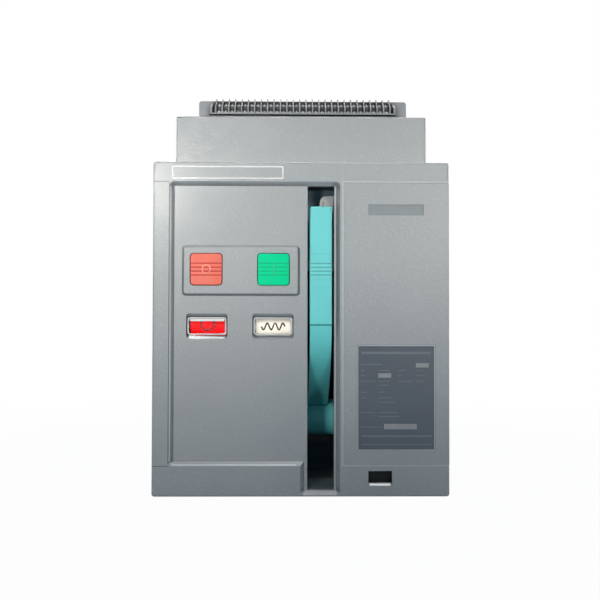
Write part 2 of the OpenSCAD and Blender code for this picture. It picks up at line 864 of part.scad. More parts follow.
module mechanism_roof() {
    color("lightsteelblue") place() box(-side_x1, side_x1, roof_y0, base_y0, side_h, roof_z1);
}

module closing_plate() {
    color("lightsteelblue") place()
        box(-closing_x, closing_x, base_y0, base_y0 + steel_t, steel_t, base_rise);
}

module moulded_base() {
    color("saddlebrown") place() difference() {
        union() {
            box(-side_x0, side_x0, base_y0, base_y1, base_rise, base_top);
            for (x = [-side_x0 + rear_rib_t / 2, -pole_pitch / 2, pole_pitch / 2, side_x0 - rear_rib_t / 2])
                rear_rib(x);
        }
        for (x = [-pole_pitch, 0, pole_pitch]) {
            for (z = [bar_low_z, bar_high_z])
                box(x - bar_w / 2 - fit, x + bar_w / 2 + fit, base_y1 - bar_in, base_y1 + over,
                    z - bar_t / 2 - fit, z + bar_t / 2 + fit);
            box(x - chute_w / 2 - fit, x + chute_w / 2 + fit, chute_mid_y - chute_d / 2 - fit,
                chute_mid_y + chute_d / 2 + fit, chute_z0, base_top + over);
        }
    }
}

// A barrier between two poles, tapered at both ends.
module rear_rib(x) {
    side_slab(x - rear_rib_t / 2, x + rear_rib_t / 2)
        polygon([[base_y1 - over, base_rise], [base_y1 + rear_rib_d, base_rise + rear_rib_taper],
            [base_y1 + rear_rib_d, base_top - rear_rib_taper], [base_y1 - over, base_top]]);
}

// A chute box with vent slots in its top.
module arc_chute(x) {
    slot_pitch = (chute_d - 2 * chute_rim) / chute_slots;
    y0 = chute_mid_y - chute_d / 2;
    difference() {
        box(x - chute_w / 2, x + chute_w / 2, y0, y0 + chute_d, chute_z0, chute_top);
        for (k = [0 : chute_slots - 1])
            box(x - chute_w / 2 + chute_rim, x + chute_w / 2 - chute_rim,
                y0 + chute_rim + (k + 0.25) * slot_pitch, y0 + chute_rim + (k + 0.75) * slot_pitch,
                chute_top - chute_slot_d, chute_top + over);
    }
}

module left_arc_chute() {
    color("dimgray") place() arc_chute(-pole_pitch);
}

module middle_arc_chute() {
    color("dimgray") place() arc_chute(0);
}

module right_arc_chute() {
    color("dimgray") place() arc_chute(pole_pitch);
}

// A flat bar with two bolt holes near its outer end.
module main_terminal(x, z) {
    hole_y = overall_d - bar_hole_end;
    difference() {
        box(x - bar_w / 2, x + bar_w / 2, base_y1 - bar_in, overall_d, z - bar_t / 2, z + bar_t / 2);
        for (s = [-0.5, 0.5])
            translate([x + s * bar_hole_pitch, hole_y, z - bar_t])
                cylinder(h = 2 * bar_t, d = bar_hole_d);
    }
}

module lower_left_terminal() {
    color("peru") place() main_terminal(-pole_pitch, bar_low_z);
}

module lower_middle_terminal() {
    color("peru") place() main_terminal(0, bar_low_z);
}

module lower_right_terminal() {
    color("peru") place() main_terminal(pole_pitch, bar_low_z);
}

module upper_left_terminal() {
    color("peru") place() main_terminal(-pole_pitch, bar_high_z);
}

module upper_middle_terminal() {
    color("peru") place() main_terminal(0, bar_high_z);
}

module upper_right_terminal() {
    color("peru") place() main_terminal(pole_pitch, bar_high_z);
}

front_mask();
blank_cover();
rating_plate();
button_bezel();
open_button();
close_button();
position_window();
charge_window();
position_drum();
charge_drum();
indicator_shaft();
indicator_brackets();
charging_handle();
handle_shaft();
handle_catch();
left_cheek();
right_cheek();
terminal_housing();
terminal_block();
terminal_barriers();
lower_clamps();
upper_clamps();
left_side_plate();
right_side_plate();
mechanism_floor();
closing_plate();
mechanism_roof();
moulded_base();
left_arc_chute();
middle_arc_chute();
right_arc_chute();
lower_left_terminal();
lower_middle_terminal();
lower_right_terminal();
upper_left_terminal();
upper_middle_terminal();
upper_right_terminal();
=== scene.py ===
"""Looks of a low-voltage air isolating switch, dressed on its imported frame.

Lengths of pieces are millimetres: x right of centre, d behind the front face, z above the floor. A
box on the front is (x0, x1, z0, z1): its left, right, foot and top. spot() turns millimetres into
the frame's metres. Lamps and the camera are placed in metres.
"""
import json
import math

import bmesh
import bpy
import numpy as np
from mathutils import Matrix, Vector


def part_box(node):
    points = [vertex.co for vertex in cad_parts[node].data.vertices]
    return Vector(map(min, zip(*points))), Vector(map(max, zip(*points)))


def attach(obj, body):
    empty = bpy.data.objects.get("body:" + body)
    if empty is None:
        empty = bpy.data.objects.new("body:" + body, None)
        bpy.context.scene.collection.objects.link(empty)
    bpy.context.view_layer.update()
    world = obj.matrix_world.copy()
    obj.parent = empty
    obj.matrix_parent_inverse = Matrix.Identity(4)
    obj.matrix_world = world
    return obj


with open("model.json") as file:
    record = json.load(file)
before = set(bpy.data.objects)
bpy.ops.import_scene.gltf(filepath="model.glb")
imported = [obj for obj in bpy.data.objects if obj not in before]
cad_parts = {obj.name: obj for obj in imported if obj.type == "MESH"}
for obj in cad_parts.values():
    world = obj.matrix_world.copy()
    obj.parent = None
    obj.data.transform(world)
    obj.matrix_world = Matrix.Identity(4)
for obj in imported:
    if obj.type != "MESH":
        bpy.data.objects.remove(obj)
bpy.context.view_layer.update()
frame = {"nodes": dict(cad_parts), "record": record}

MM = 0.001
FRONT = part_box("front_mask")[0].y


def spot(x, d, z):
    """Points in the frame's metres, from millimetres right of centre, behind the front and up."""
    x, d, z = np.broadcast_arrays(np.asarray(x, float), np.asarray(d, float), np.asarray(z, float))
    return np.stack([x * MM, FRONT + d * MM, z * MM], axis=-1)


def node_box(name):
    """Lowest and highest corner of a CAD node in millimetres, as (x, d, z)."""
    low, high = (np.array(corner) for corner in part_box(name))
    shift = np.array([0.0, FRONT, 0.0])
    return (low - shift) / MM, (high - shift) / MM


# Shader helpers


def paint(red, green, blue):
    """A screen colour, 0 to 255 a channel, as the linear colour of shaders, by the sRGB curve."""
    channel = np.array([red, green, blue]) / 255.0
    linear = np.where(channel <= 0.04045, channel / 12.92, ((channel + 0.055) / 1.055) ** 2.4)
    return (*linear.tolist(), 1.0)


def feed(tree, socket, value):
    """Links a node's output into a socket, or sets a plain number or colour there."""
    if isinstance(value, bpy.types.NodeSocket):
        tree.links.new(value, socket)
    else:
        socket.default_value = value


def add(tree, kind, inputs=None, **props):
    """Puts a node in a tree, sets its properties, and fills its inputs with values or links."""
    node = tree.nodes.new(kind)
    for key, value in props.items():
        setattr(node, key, value)
    for key, value in (inputs or {}).items():
        feed(tree, node.inputs[key], value)
    return node


def effect(name, ins, outs):
    """An empty shader group with named number sockets: (tree, its inputs, its output node)."""
    tree = bpy.data.node_groups.new(name, "ShaderNodeTree")
    for label, default in ins.items():
        socket = tree.interface.new_socket(label, in_out="INPUT", socket_type="NodeSocketFloat")
        socket.default_value = default
    for label in outs:
        tree.interface.new_socket(label, in_out="OUTPUT", socket_type="NodeSocketFloat")
    return tree, tree.nodes.new("NodeGroupInput").outputs, tree.nodes.new("NodeGroupOutput")


def spread(tree, value, low, high, to_low=0.0, to_high=1.0):
    """Stretches the part of a value between low and high over a new range."""
    ranges = {"From Min": low, "From Max": high, "To Min": to_low, "To Max": to_high}
    return add(tree, "ShaderNodeMapRange", {"Value": value, **ranges}).outputs["Result"]


def sums(tree, operation, first, second):
    """One step of arithmetic on two values."""
    return add(tree, "ShaderNodeMath", {0: first, 1: second}, operation=operation).outputs["Value"]


def vector_sums(tree, operation, *vectors):
    """One step of arithmetic on vectors: the outputs of its node."""
    return add(tree, "ShaderNodeVectorMath", dict(enumerate(vectors)), operation=operation).outputs


def blot(tree, vector, scale, detail=2.0, roughness=0.55):
    """Noise of a given scale as a value round a half."""
    inputs = {"Vector": vector, "Scale": scale, "Detail": detail, "Roughness": roughness}
    return add(tree, "ShaderNodeTexNoise", inputs).outputs["Fac"]


def own_place(tree):
    """A point's place on its piece, which every pattern reads."""
    return add(tree, "ShaderNodeTexCoord").outputs["Object"]


def face_normal(tree):
    """The direction in which a face looks."""
    return add(tree, "ShaderNodeNewGeometry").outputs["Normal"]


def open_sky(tree, reach):
    """How open the space round a point is within a reach in metres: one where all of it is."""
    return add(tree, "ShaderNodeAmbientOcclusion", {"Distance": reach}, samples=6).outputs["AO"]


def make_grain():
    """Spark-eroded grain of a mould: fine pits over coarser ones, and their tips as flecks."""
    coarse_scale, coarse_share = 0.31, 0.5
    tree, ins, end = effect("mould_grain", {"Scale": 900.0}, ("Height", "Fleck"))
    place = own_place(tree)
    fine = blot(tree, place, ins["Scale"], detail=3.0, roughness=0.65)
    coarse = blot(tree, place, sums(tree, "MULTIPLY", ins["Scale"], coarse_scale))
    height = sums(tree, "ADD", fine, sums(tree, "MULTIPLY", coarse, coarse_share))
    tree.links.new(height, end.inputs["Height"])
    tree.links.new(spread(tree, fine, low=0.56, high=0.74), end.inputs["Fleck"])
    return tree


def make_cloud():
    """Slow change of tone over a moulding or a plate."""
    tree, ins, end = effect("slow_tone", {"Scale": 9.0}, ("Tone",))
    clouds = blot(tree, own_place(tree), ins["Scale"], detail=3.0)
    tree.links.new(spread(tree, clouds, low=0.3, high=0.7), end.inputs["Tone"])
    return tree


def make_edge():
    """Rubbed edges: how far a rounded normal leans from the true one, broken up by noise."""
    tree, ins, end = effect("rubbed_edge", {"Radius": 0.0008, "Breaks": 240.0}, ("Edge",))
    place = own_place(tree)
    true = face_normal(tree)
    soft = add(tree, "ShaderNodeBevel", {"Radius": ins["Radius"]}, samples=4).outputs["Normal"]
    lean = vector_sums(tree, "DOT_PRODUCT", true, soft)["Value"]
    corner = spread(tree, lean, low=0.99, high=0.8)
    broken = spread(tree, blot(tree, place, ins["Breaks"]), low=0.35, high=0.6, to_low=0.35)
    tree.links.new(sums(tree, "MULTIPLY", corner, broken), end.inputs["Edge"])
    return tree


def make_dust():
    """Dust that settles where a face looks up, thinner where the noise is low."""
    patch_scale = 70.0
    tree, ins, end = effect("settled_dust", {"Amount": 0.3}, ("Dust",))
    place = own_place(tree)
    up = add(tree, "ShaderNodeSeparateXYZ", {"Vector": face_normal(tree)}).outputs["Z"]
    noise = blot(tree, place, patch_scale, detail=4.0)
    patches = spread(tree, noise, low=0.35, high=0.7, to_low=0.3)
    facing = sums(tree, "MULTIPLY", spread(tree, up, low=0.55, high=0.98), patches)
    tree.links.new(sums(tree, "MULTIPLY", facing, ins["Amount"]), end.inputs["Dust"])
    return tree


def make_brush():
    """Rolling lines of sheet metal: noise drawn out along the height."""
    tree, ins, end = effect("rolled_lines", {"Scale": 500.0, "Draw": 0.03}, ("Height",))
    place = own_place(tree)
    axes = {"X": 1.0, "Y": 1.0, "Z": ins["Draw"]}
    draw = add(tree, "ShaderNodeCombineXYZ", axes).outputs["Vector"]
    drawn = vector_sums(tree, "MULTIPLY", place, draw)["Vector"]
    tree.links.new(blot(tree, drawn, ins["Scale"], detail=3.0), end.inputs["Height"])
    return tree


def make_recess_shade():
    """Painted shade of grooves, gaps and inner corners: one where little space near a point is
    open.
    """
    tree, ins, end = effect("painted_groove_shade", {"Reach": 0.002}, ("Recess Shade",))
    recess_shade = spread(tree, open_sky(tree, ins["Reach"]), low=0.9, high=0.45)
    tree.links.new(recess_shade, end.inputs["Recess Shade"])
    return tree


def make_wall_shade():
    """Painted shade on the walls of a moulded recess, which are given a darker colour.

    One where a face turns from the front, doesn't look up, and lies in a recess.
    """
    tree, ins, end = effect("painted_wall_shade", {"Reach": 0.008}, ("Wall Shade",))
    lean = add(tree, "ShaderNodeSeparateXYZ", {"Vector": face_normal(tree)}).outputs
    opened = open_sky(tree, ins["Reach"])
    turned = spread(tree, lean["Y"], low=-0.93, high=-0.75)
    side = sums(tree, "MULTIPLY", turned, spread(tree, lean["Z"], low=0.5, high=0.2))
    sunk = spread(tree, opened, low=0.98, high=0.85)
    tree.links.new(sums(tree, "MULTIPLY", side, sunk), end.inputs["Wall Shade"])
    return tree


GRAIN, CLOUD, EDGE, DUST = make_grain(), make_cloud(), make_edge(), make_dust()
BRUSH, RECESS_SHADE, WALL_SHADE = make_brush(), make_recess_shade(), make_wall_shade()


def place_effect(tree, group, **values):
    """One of the shared groups, placed in a material with its own values."""
    node = add(tree, "ShaderNodeGroup", node_tree=group)
    for label, value in values.items():
        node.inputs[label].default_value = value
    return node.outputs


def tint(tree, mask, under, over):
    """Lays the second colour over the first where the mask is one."""
    node = add(tree, "ShaderNodeMix", {0: mask}, data_type="RGBA")
    sockets = [socket for socket in node.inputs if socket.type == "RGBA"]
    for socket, value in zip(sockets, (under, over)):
        feed(tree, socket, value)
    return [socket for socket in node.outputs if socket.type == "RGBA"][0]


def new_material(name):
    """A material with nodes: (material, its tree, its main shader)."""
    material = bpy.data.materials.new(name)
    material.use_nodes = True
    tree = material.node_tree
    return material, tree, tree.nodes["Principled BSDF"]


def mix_to_surface(tree, share, first, second):
    """Leads two shaders to the surface: the second where the share is one."""
    both = add(tree, "ShaderNodeMixShader", {0: share, 1: first, 2: second})
    tree.links.new(both.outputs["Shader"], tree.nodes["Material Output"].inputs["Surface"])


DUST_COLOUR = paint(196, 192, 184)
PIT_DEPTH = 0.0004
LINE_SHARE = 1.5


def finish(name, colour, shade, rough, rough_spread=0.08, cloud=9.0, grain=900.0, pits=0.1,
           fleck=None, fleck_share=0.25, edge=None, edge_radius=0.0006, dust=0.15, lines=None,
           recess_shade=None, reach=0.002, gloss=0.3, metal=0.0, wall_shade=None):
    """A moulded, painted or metal finish.

    Two tones of the colour change slowly over the piece; grain pits it and flecks its tips; edges
    are rubbed and upward faces dusted. Grooves get a darker colour as painted shade. Lines, where
    given, are the rolling marks of sheet metal; recess walls get a darker tone as painted shade.
    """
    material, tree, body = new_material(name)
    tone = place_effect(tree, CLOUD, Scale=cloud)["Tone"]
    pitted = place_effect(tree, GRAIN, Scale=grain)
    skin = tint(tree, tone, paint(*colour), paint(*shade))
    if fleck:
        skin = tint(tree, sums(tree, "MULTIPLY", pitted["Fleck"], fleck_share), skin, paint(*fleck))
    if edge:
        skin = tint(tree, place_effect(tree, EDGE, Radius=edge_radius)["Edge"], skin, paint(*edge))
    if dust:
        skin = tint(tree, place_effect(tree, DUST, Amount=dust)["Dust"], skin, DUST_COLOUR)
    # Painted shade: recess walls that turn from the front get a darker colour.
    if wall_shade:
        skin = tint(tree, place_effect(tree, WALL_SHADE)["Wall Shade"], skin, paint(*wall_shade))
    # Painted shade: a darker colour where little space round a point is open, in grooves and gaps.
    if recess_shade:
        skin = tint(tree, place_effect(tree, RECESS_SHADE, Reach=reach)["Recess Shade"], skin, paint(*recess_shade))
    tree.links.new(skin, body.inputs["Base Color"])
    height = pitted["Height"]
    if lines:
        drawn = place_effect(tree, BRUSH, Scale=lines)["Height"]
        height = sums(tree, "ADD", sums(tree, "MULTIPLY", drawn, LINE_SHARE), height)
    roughness = spread(tree, height, low=0.45, high=1.05,
                       to_low=rough - rough_spread, to_high=rough + rough_spread)
    tree.links.new(roughness, body.inputs["Roughness"])
    bump = add(tree, "ShaderNodeBump", {"Strength": pits, "Distance": PIT_DEPTH, "Height": height})
    tree.links.new(bump.outputs["Normal"], body.inputs["Normal"])
    body.inputs["Specular IOR Level"].default_value = gloss
    body.inputs["Metallic"].default_value = metal
    return material


def clear_finish(name):
    """Clear moulded plastic with a faintly rubbed gloss, which lets lamplight through."""
    material, tree, body = new_material(name)
    body.inputs["Base Color"].default_value = (0.97, 0.98, 0.98, 1.0)
    body.inputs["Transmission Weight"].default_value = 1.0
    body.inputs["IOR"].default_value = 1.12
    rubbed = place_effect(tree, GRAIN, Scale=260.0)["Height"]
    roughness = spread(tree, rubbed, low=0.5, high=1.0, to_low=0.01, to_high=0.06)
    tree.links.new(roughness, body.inputs["Roughness"])
    through = add(tree, "ShaderNodeBsdfTransparent")
    shadow = add(tree, "ShaderNodeLightPath").outputs["Is Shadow Ray"]
    mix_to_surface(tree, shadow, body.outputs["BSDF"], through.outputs["BSDF"])
    return material


# What finishes of one kind share
SHEET_SKIN = dict(cloud=16.0, grain=700.0, pits=0.08, lines=420.0)
BUTTON_SKIN = dict(rough_spread=0.05, cloud=30.0, grain=1500.0, pits=0.06)
GRIP_SKIN = dict(rough_spread=0.05, cloud=12.0, grain=1300.0, pits=0.06)
DRUM_SKIN = dict(rough_spread=0.05, cloud=40.0, grain=1500.0, pits=0.04, dust=0.0)
PRINT_SKIN = dict(rough_spread=0.05, cloud=60.0, grain=1500.0, pits=0.05)
INNER_PRINT_SKIN = dict(PRINT_SKIN, dust=0.0)
TRIM_SKIN = dict(rough_spread=0.06, cloud=40.0, grain=900.0, pits=0.06, dust=0.0)
LENS_SKIN = dict(rough_spread=0.05, cloud=60.0, grain=900.0, pits=0.03, dust=0.0)

# In these rows the groove colours and the recess wall colour are painted shade.
LOOKS = {
    # Mouldings
    "grey_moulding": dict(
        colour=(160, 165, 168), shade=(152, 157, 161), rough=0.4, rough_spread=0.12, cloud=7.0,
        grain=480.0, pits=0.8, fleck=(210, 212, 214), fleck_share=0.3, edge=(172, 177, 179),
        recess_shade=(88, 92, 96), gloss=0.5, wall_shade=(112, 117, 119)),
    "catch_plastic": dict(
        colour=(176, 180, 184), shade=(168, 172, 177), rough=0.45, rough_spread=0.06, cloud=25.0,
        grain=1200.0),
    "terminal_plastic": dict(
        colour=(148, 153, 157), shade=(139, 144, 149), rough=0.48, cloud=20.0, grain=1000.0,
        pits=0.12, edge=(158, 163, 167), edge_radius=0.0004, recess_shade=(26, 28, 31), reach=0.009),
    "base_moulding": dict(
        colour=(74, 77, 81), shade=(66, 69, 73), rough=0.55, rough_spread=0.1, grain=700.0,
        pits=0.2, fleck=(104, 107, 110), fleck_share=0.35, edge=(108, 111, 115),
        recess_shade=(40, 42, 45), reach=0.006),
    "chute_moulding": dict(
        colour=(84, 90, 96), shade=(75, 81, 87), rough=0.6, rough_spread=0.1, cloud=11.0,
        grain=600.0, pits=0.25, fleck=(112, 117, 121), fleck_share=0.4, edge=(118, 123, 127),
        recess_shade=(40, 43, 46), reach=0.005),
    # Metals
    "bright_steel": dict(
        colour=(200, 202, 204), shade=(188, 190, 193), rough=0.3, rough_spread=0.1, cloud=20.0,
        grain=1200.0, pits=0.05, lines=600.0, metal=1.0),
    "zinc_steel": dict(
        SHEET_SKIN, colour=(178, 182, 184), shade=(160, 165, 168), rough=0.4, rough_spread=0.1,
        fleck=(205, 208, 208), fleck_share=0.4, metal=1.0),
    "dark_steel": dict(
        SHEET_SKIN, colour=(66, 86, 97), shade=(58, 77, 88), rough=0.55, rough_spread=0.1,
        fleck=(80, 98, 108), fleck_share=0.4, gloss=0.1),
    "shield_steel": dict(
        SHEET_SKIN, colour=(150, 174, 188), shade=(140, 164, 178), rough=0.5, gloss=0.2),
    "clamp_metal": dict(
        colour=(150, 152, 153), shade=(128, 130, 132), rough=0.45, cloud=60.0, pits=0.05,
        recess_shade=(70, 72, 74), reach=0.003, metal=1.0),
    "plated_copper": dict(
        colour=(206, 203, 196), shade=(190, 186, 178), rough=0.34, rough_spread=0.1, cloud=18.0,
        grain=800.0, pits=0.06, lines=500.0, metal=1.0),
    # Buttons, drums and handle
    "red_plastic": dict(
        BUTTON_SKIN, colour=(255, 130, 111), shade=(251, 119, 100), rough=0.38,
        edge=(255, 158, 142), recess_shade=(214, 8, 0), gloss=0.12),
    "green_plastic": dict(
        BUTTON_SKIN, colour=(0, 236, 168), shade=(0, 226, 158), rough=0.4, edge=(80, 246, 196),
        dust=0.0, recess_shade=(0, 204, 138), gloss=0.05),
    # Lighter copies of the button colours: painted highlights that make the raised signs show.
    "red_sign_highlight": dict(BUTTON_SKIN, colour=(255, 160, 144), shade=(252, 148, 132), rough=0.38),
    "green_sign_highlight": dict(
        BUTTON_SKIN, colour=(90, 238, 186), shade=(76, 230, 176), rough=0.4, gloss=0.12),
    "red_drum": dict(DRUM_SKIN, colour=(248, 6, 14), shade=(238, 2, 10), rough=0.35, gloss=0.05),
    "cream_drum": dict(DRUM_SKIN, colour=(240, 233, 218), shade=(232, 224, 208), rough=0.4),
    "teal_plastic": dict(
        GRIP_SKIN, colour=(114, 222, 222), shade=(106, 214, 214), rough=0.42, fleck=(146, 232, 230),
        fleck_share=0.2, edge=(166, 238, 236), recess_shade=(44, 146, 150), reach=0.0015),
    # A darker copy of the teal: painted shade of the step under the grip.
    "teal_step_shade": dict(
        GRIP_SKIN, colour=(52, 150, 152), shade=(44, 142, 144), rough=0.45, dust=0.0),
    # Plate, label and prints
    "plate_enamel": dict(
        colour=(88, 97, 109), shade=(81, 90, 102), rough=0.42, rough_spread=0.06, cloud=14.0,
        grain=1600.0, pits=0.06, fleck=(104, 112, 121), fleck_share=0.3, dust=0.1,
        recess_shade=(50, 55, 62), reach=0.001),
    "label_film": dict(
        colour=(152, 160, 164), shade=(145, 153, 157), rough=0.52, rough_spread=0.05, cloud=30.0,
        grain=1500.0, pits=0.04, gloss=0.2),
    "white_print": dict(PRINT_SKIN, colour=(240, 241, 241), shade=(230, 232, 233), rough=0.5),
    "pale_field": dict(PRINT_SKIN, colour=(158, 160, 164), shade=(148, 150, 155), rough=0.45),
    "faint_rule": dict(PRINT_SKIN, colour=(116, 124, 133), shade=(108, 116, 126), rough=0.45),
    "ring_print": dict(INNER_PRINT_SKIN, colour=(128, 16, 24), shade=(112, 12, 20), rough=0.5),
    "dark_print": dict(INNER_PRINT_SKIN, colour=(52, 40, 40), shade=(44, 34, 34), rough=0.5),
    "green_print": dict(INNER_PRINT_SKIN, colour=(30, 150, 84), shade=(24, 140, 76), rough=0.45),
    "yellow_print": dict(INNER_PRINT_SKIN, colour=(240, 198, 40), shade=(232, 188, 32), rough=0.45),
    # Trim and lenses, several of them painted highlights, glare and glint
    # Pale trim: painted highlights on the lips, and painted light on the slot's floor.
    "pale_highlight": dict(
        TRIM_SKIN, colour=(208, 211, 212), shade=(198, 202, 204), rough=0.3, gloss=0.5),
    "plate_rim_and_seam_highlight": dict(TRIM_SKIN, colour=(196, 200, 202), shade=(188, 192, 195), rough=0.4),
    "window_dark": dict(TRIM_SKIN, colour=(40, 44, 46), shade=(34, 38, 40), rough=0.6, gloss=0.1),
    "seam_shade": dict(
        TRIM_SKIN, colour=(104, 108, 110), shade=(94, 98, 101), rough=0.55, rough_spread=0.05),
    "lip_steel": dict(
        TRIM_SKIN, colour=(236, 238, 239), shade=(226, 228, 230), rough=0.3, pits=0.04, metal=1.0),
    "painted_sill_glint": dict(
        LENS_SKIN, colour=(250, 251, 252), shade=(242, 244, 246), rough=0.25, metal=0.6),
    "painted_lens_glare": dict(LENS_SKIN, colour=(250, 251, 252), shade=(240, 242, 244), rough=0.2),
    "lens_rim_highlight": dict(LENS_SKIN, colour=(222, 225, 227), shade=(212, 215, 218), rough=0.25),
}
FINISHES = {name: finish(name, **look) for name, look in LOOKS.items()}
FINISHES["clear_plastic"] = clear_finish("clear_plastic")


def dress_nodes():
    """Gives every CAD node the finish of its slot in the record."""
    for part in frame["record"]["subparts"]:
        mesh = frame["nodes"][part["node"]].data
        mesh.materials.clear()
        mesh.materials.append(FINISHES[part["material_slot"]])


JOIN_GAP = 0.00001
SHARP_DEGREES = 35


def ease_edges(width, *names):
    """Rounds the sharp edges of CAD nodes.

    Their triangles are joined and the edges between their faces bevelled.
    """
    for name in names:
        node = frame["nodes"][name]
        join = node.modifiers.new("join", "WELD")
        join.merge_threshold = JOIN_GAP
        soft = node.modifiers.new("soft", "BEVEL")
        soft.width = width * MM
        soft.segments = 2
        soft.limit_method = "ANGLE"
        soft.angle_limit = math.radians(SHARP_DEGREES)
        soft.harden_normals = True


# Surfaces

SAME_POINT = 1e-7


def grid_quads(index):
    """The quads between neighbours in a grid of point numbers."""
    corners = [index[:-1, :-1], index[1:, :-1], index[1:, 1:], index[:-1, 1:]]
    return np.stack(corners, axis=-1).reshape(-1, 4)


def piece(name, grids, look, body="switch_frame", wrap_rows=False, wrap_columns=False):
    """Puts grids of points, as copies, rows, columns and xyz, into one mesh with quads between.

    Rows or columns may wrap round. Points that coincide, as at a pole, become one.
    """
    grids = np.asarray(grids, float)
    if grids.ndim == 3:
        grids = grids[None]
    copies, rows, columns = grids.shape[:3]
    index = np.arange(rows * columns).reshape(rows, columns)
    if wrap_rows:
        index = np.concatenate([index, index[:1]], axis=0)
    if wrap_columns:
        index = np.concatenate([index, index[:, :1]], axis=1)
    starts = (np.arange(copies) * rows * columns)[:, None, None]
    faces = (grid_quads(index)[None] + starts).reshape(-1, 4)
    mesh = bpy.data.meshes.new(name)
    mesh.from_pydata(grids.reshape(-1, 3).tolist(), [], faces.tolist())
    closed = bmesh.new()
    closed.from_mesh(mesh)
    bmesh.ops.remove_doubles(closed, verts=closed.verts, dist=SAME_POINT)
    closed.to_mesh(mesh)
    closed.free()
    mesh.update()
    obj = bpy.data.objects.new(name, mesh)
    bpy.context.scene.collection.objects.link(obj)
    mesh.materials.append(FINISHES[look])
    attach(obj, body)
    return obj


def smooth(obj):
    """Shades a curved piece smoothly."""
    obj.data.polygons.foreach_set("use_smooth", np.ones(len(obj.data.polygons), bool))
    return obj


def box_middle(box):
    """The middle of a box as (x, z)."""
    x0, x1, z0, z1 = box
    return np.array([(x0 + x1) / 2, (z0 + z1) / 2])


def frame_path(box, r, turn):
    """A rounded rectangle as a closed path.

    Four quarter circles of radius r, with turn points each, are joined by straights. Returns the
    points and the outward directions, both as (x, z) rows.
    """
    x0, x1, z0, z1 = box
    angle = np.linspace(0, math.pi / 2, turn)
    quarter = np.arange(4) * math.pi / 2
    turned = (angle[None] + quarter[:, None]).ravel()
    out = np.stack([np.cos(turned), np.sin(turned)], axis=-1)
    middle = np.array([[x1 - r, z1 - r], [x0 + r, z1 - r], [x0 + r, z0 + r], [x1 - r, z0 + r]])
    return np.repeat(middle, turn, axis=0) + r * out, out


def framed_line(name, look, box, r, line, rise, d, body="switch_frame"):
    """A raised line carried round a rounded rectangle.

    The profile is half an ellipse, line wide and rise high.
    """
    path, out = frame_path(box, r, turn=8)
    sweep = np.linspace(0, math.pi, 9)
    across = line / 2 * np.cos(sweep)
    high = rise * np.sin(sweep)
    flat = path[:, None] + across[None, :, None] * out[:, None]
    grid = spot(flat[..., 0], d - np.broadcast_to(high, flat.shape[:2]), flat[..., 1])
    return smooth(piece(name, grid, look, body, wrap_rows=True))


def pads(name, look, boxes, d, rise, r, body="switch_frame"):
    """Low pads on a front face: rounded rectangles whose rings grow from the crown to the rim.

    The first ring is the middle point; ring a stands rise * sin(a) proud and is set in by
    rise * (1 - cos(a)).
    """
    lean = np.array([1.0, 0.5, 0.0]) * math.pi / 2
    high = np.concatenate([[rise], rise * np.sin(lean)])[:, None]
    copies = []
    for box in boxes:
        path, out = frame_path(box, r, turn=4)
        rings = path[None] - (rise * (1 - np.cos(lean)))[:, None, None] * out[None]
        rings = np.concatenate([box_middle(box) + 0.0 * path[None], rings])
        depth = d - np.broadcast_to(high, rings.shape[:2])
        copies.append(spot(rings[..., 0], depth, rings[..., 1]))
    return piece(name, np.array(copies), look, body, wrap_columns=True)


def ends(x, d, z):
    """The two ends of a straight edge: a length that is given once holds at both."""
    return np.stack(np.broadcast_arrays(x, d, z), axis=-1)


def run_out(along):
    """Height of a strip along its length, from 0 to 1: even, and run down to nothing at both ends.

    The square root of one less the eighth power of the way from the middle.
    """
    return np.sqrt(np.clip(1 - (2 * along - 1) ** 8, 0, 1))


def ledge(name, look, edge, other, rise):
    """A crowned strip between two straight edges, each given by its two ends.

    The flat strip is ruled from one edge to the other; its middle stands rise proud along the
    strip's normal by a sine across, run down to nothing at both ends.
    """
    along = np.linspace(0, 1, 11)[:, None, None]
    across = np.linspace(0, 1, 7)[None, :, None]
    near = edge[0] + along * (edge[1] - edge[0])
    far = other[0] + along * (other[1] - other[0])
    normal = np.cross(edge[1] - edge[0], other[0] - edge[0])
    crown = rise * np.sin(math.pi * across) * run_out(along) * normal / np.linalg.norm(normal)
    grid = near + across * (far - near) + crown
    return smooth(piece(name, spot(*np.moveaxis(grid, -1, 0)), look))


def sheet_plate(name, look, box, r, d, thick):
    """A flat plate that faces front, worked out as rings that are rounded rectangles.

    They run from the middle of its front to its rim, round it, and to the middle of its back.
    """
    chamfer = 0.3
    path, out = frame_path(box, r, turn=4)
    middle = box_middle(box) + 0.0 * path
    inner = path - chamfer * out
    rings = np.stack([middle, inner, path, path, inner, middle])
    depth = d + thick * np.array([0.0, 0.0, 0.2, 0.8, 1.0, 1.0])[:, None] + 0.0 * rings[..., 0]
    grid = spot(rings[..., 0], depth, rings[..., 1])
    return piece(name, grid, look, wrap_columns=True)


DRUM_R = 24.0
DRUM_Z = 172.0
DRUM_LIFT = 0.12
LINE_PROFILE = np.array([0.0, 1.0, 1.0, 0.0])


def on_drum(side, across, up, turn, lift):
    """Bends a flat drawing round a drum's axis.

    Across runs along the axis, up becomes an angle round it, and lift adds to the radius.
    """
    low, high = node_box(side + "_drum")
    middle_x, middle_d = (low[0] + high[0]) / 2, low[1] + DRUM_R
    angle = math.radians(turn) + up / DRUM_R
    far = DRUM_R + lift
    return spot(middle_x + across, middle_d - far * np.cos(angle), DRUM_Z + far * np.sin(angle))


def drum_ring(name, side, look, turn, up, outer, line):
    """A printed ring on a drum: radius from its inner to its outer edge, angle all the way."""
    angle = np.linspace(0, 2 * math.pi, 48, endpoint=False)[None]
    radius = np.linspace(outer - line, outer, LINE_PROFILE.size)[:, None]
    lift = DRUM_LIFT * LINE_PROFILE[:, None] + 0 * angle
    grid = on_drum(side, radius * np.cos(angle), up + radius * np.sin(angle), turn, lift)
    return smooth(piece(name, grid, look, side + "_indicator", wrap_columns=True))


